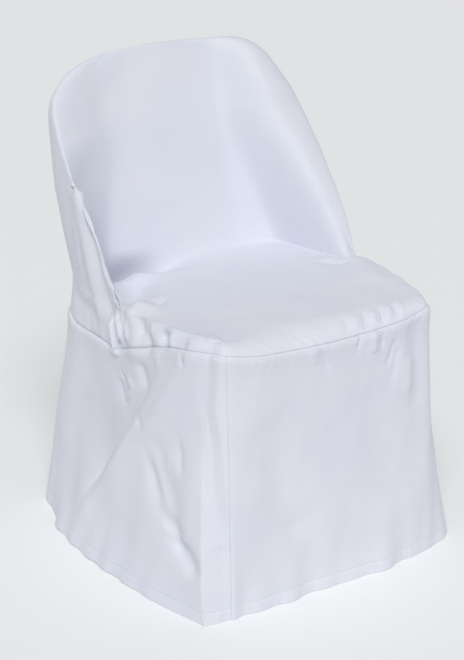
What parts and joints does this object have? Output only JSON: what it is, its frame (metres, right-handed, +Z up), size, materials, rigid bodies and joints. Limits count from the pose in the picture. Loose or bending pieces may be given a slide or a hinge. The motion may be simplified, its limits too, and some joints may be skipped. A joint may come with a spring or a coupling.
{
  "type": "fitted chair cover",
  "caption": "Fitted white cloth cover for a folding chair, with a pocket over the back, a seat panel and a skirt that reaches the floor.",
  "frame": {"origin": "just under the pocket's top seam, at the middle, where the chair's top rail holds the cover up", "axes": "+Z up, -Y out of the front of the seat, X from side to side; the hem is 0.8046 m below the origin"},
  "size_m": [0.5717, 0.5776, 0.8087],
  "materials": {
    "inside_back_cloth": "matt woven polyester, cool white",
    "outside_back_cloth": "matt woven polyester, cool white",
    "seat_cloth": "matt woven polyester, cool white",
    "skirt_cloth": "matt woven polyester, cool white"
  },
  "bodies": {
    "root": {"inside_back": "inside_back_cloth", "outside_back": "outside_back_cloth", "seat_panel": "seat_cloth", "skirt_left": "skirt_cloth", "skirt_front": "skirt_cloth", "skirt_right": "skirt_cloth", "skirt_back": "skirt_cloth"}
  },
  "joints": []
}
